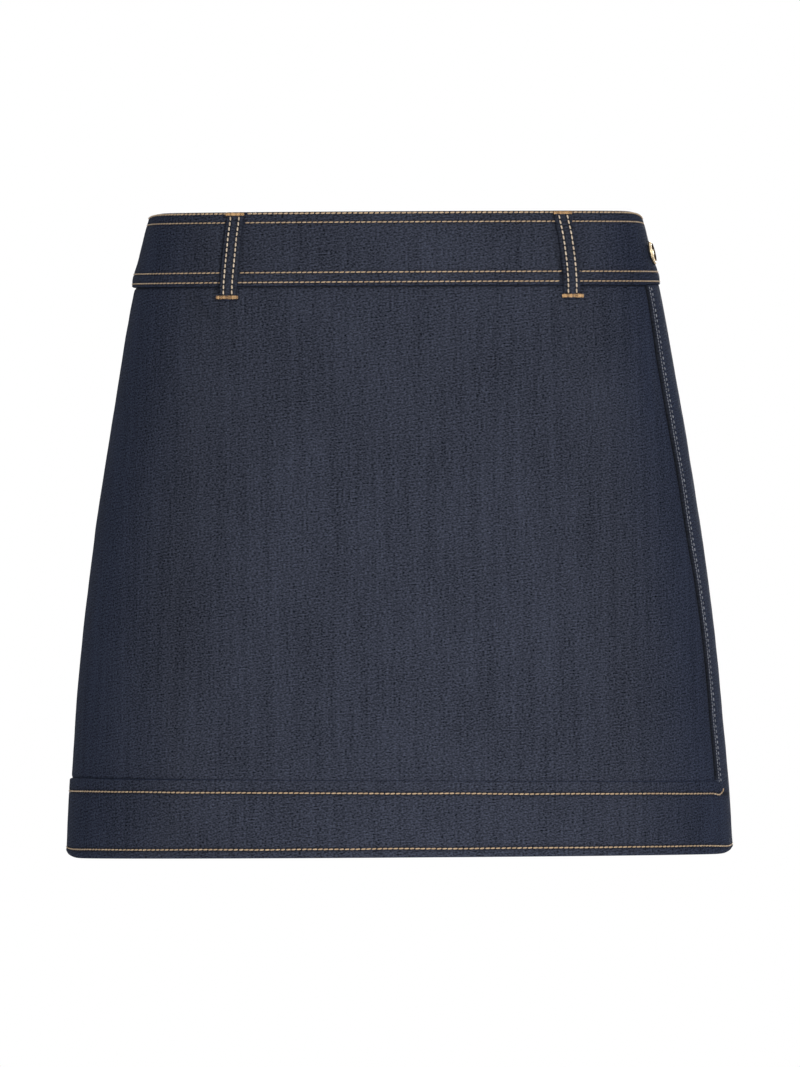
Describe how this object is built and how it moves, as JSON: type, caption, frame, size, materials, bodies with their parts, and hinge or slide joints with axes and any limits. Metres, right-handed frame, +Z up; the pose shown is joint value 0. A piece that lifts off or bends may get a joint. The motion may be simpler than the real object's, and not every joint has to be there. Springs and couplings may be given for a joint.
{
  "type": "skort",
  "caption": "Dark denim A-line mini skort, worn form: wide waistband with belt loops, L-shaped stitched border, side button, inner shorts.",
  "frame": {"origin": "middle of the waist, halfway up the waistband, where the wearer holds the skort up", "axes": "+Z up; the front faces -Y; +X is the wearer's left, where the front laps over the back"},
  "size_m": [0.395, 0.266, 0.384],
  "materials": {
    "denim": "raw dark indigo twill, matt",
    "shorts_cloth": "plain navy cotton, matt",
    "gold_metal": "brushed gold plate",
    "topstitch_thread": "thick beige-gold topstitching thread, slight sheen",
    "bartack_thread": "orange-gold tacking thread, slight sheen",
    "tonal_thread": "grey-blue thread on the side border, matt"
  },
  "bodies": {
    "root": {"waistband": "denim", "front_panel": "denim", "back_panel": "denim", "border_band": "denim", "back_hem_band": "denim", "belt_loop_front_right": "denim", "belt_loop_front_left": "denim", "belt_loop_back_right": "denim", "belt_loop_back_centre": "denim", "belt_loop_back_left": "denim", "shorts_front_right": "shorts_cloth", "shorts_front_left": "shorts_cloth", "shorts_back_right": "shorts_cloth", "shorts_back_left": "shorts_cloth", "button": "gold_metal"}
  },
  "joints": []
}
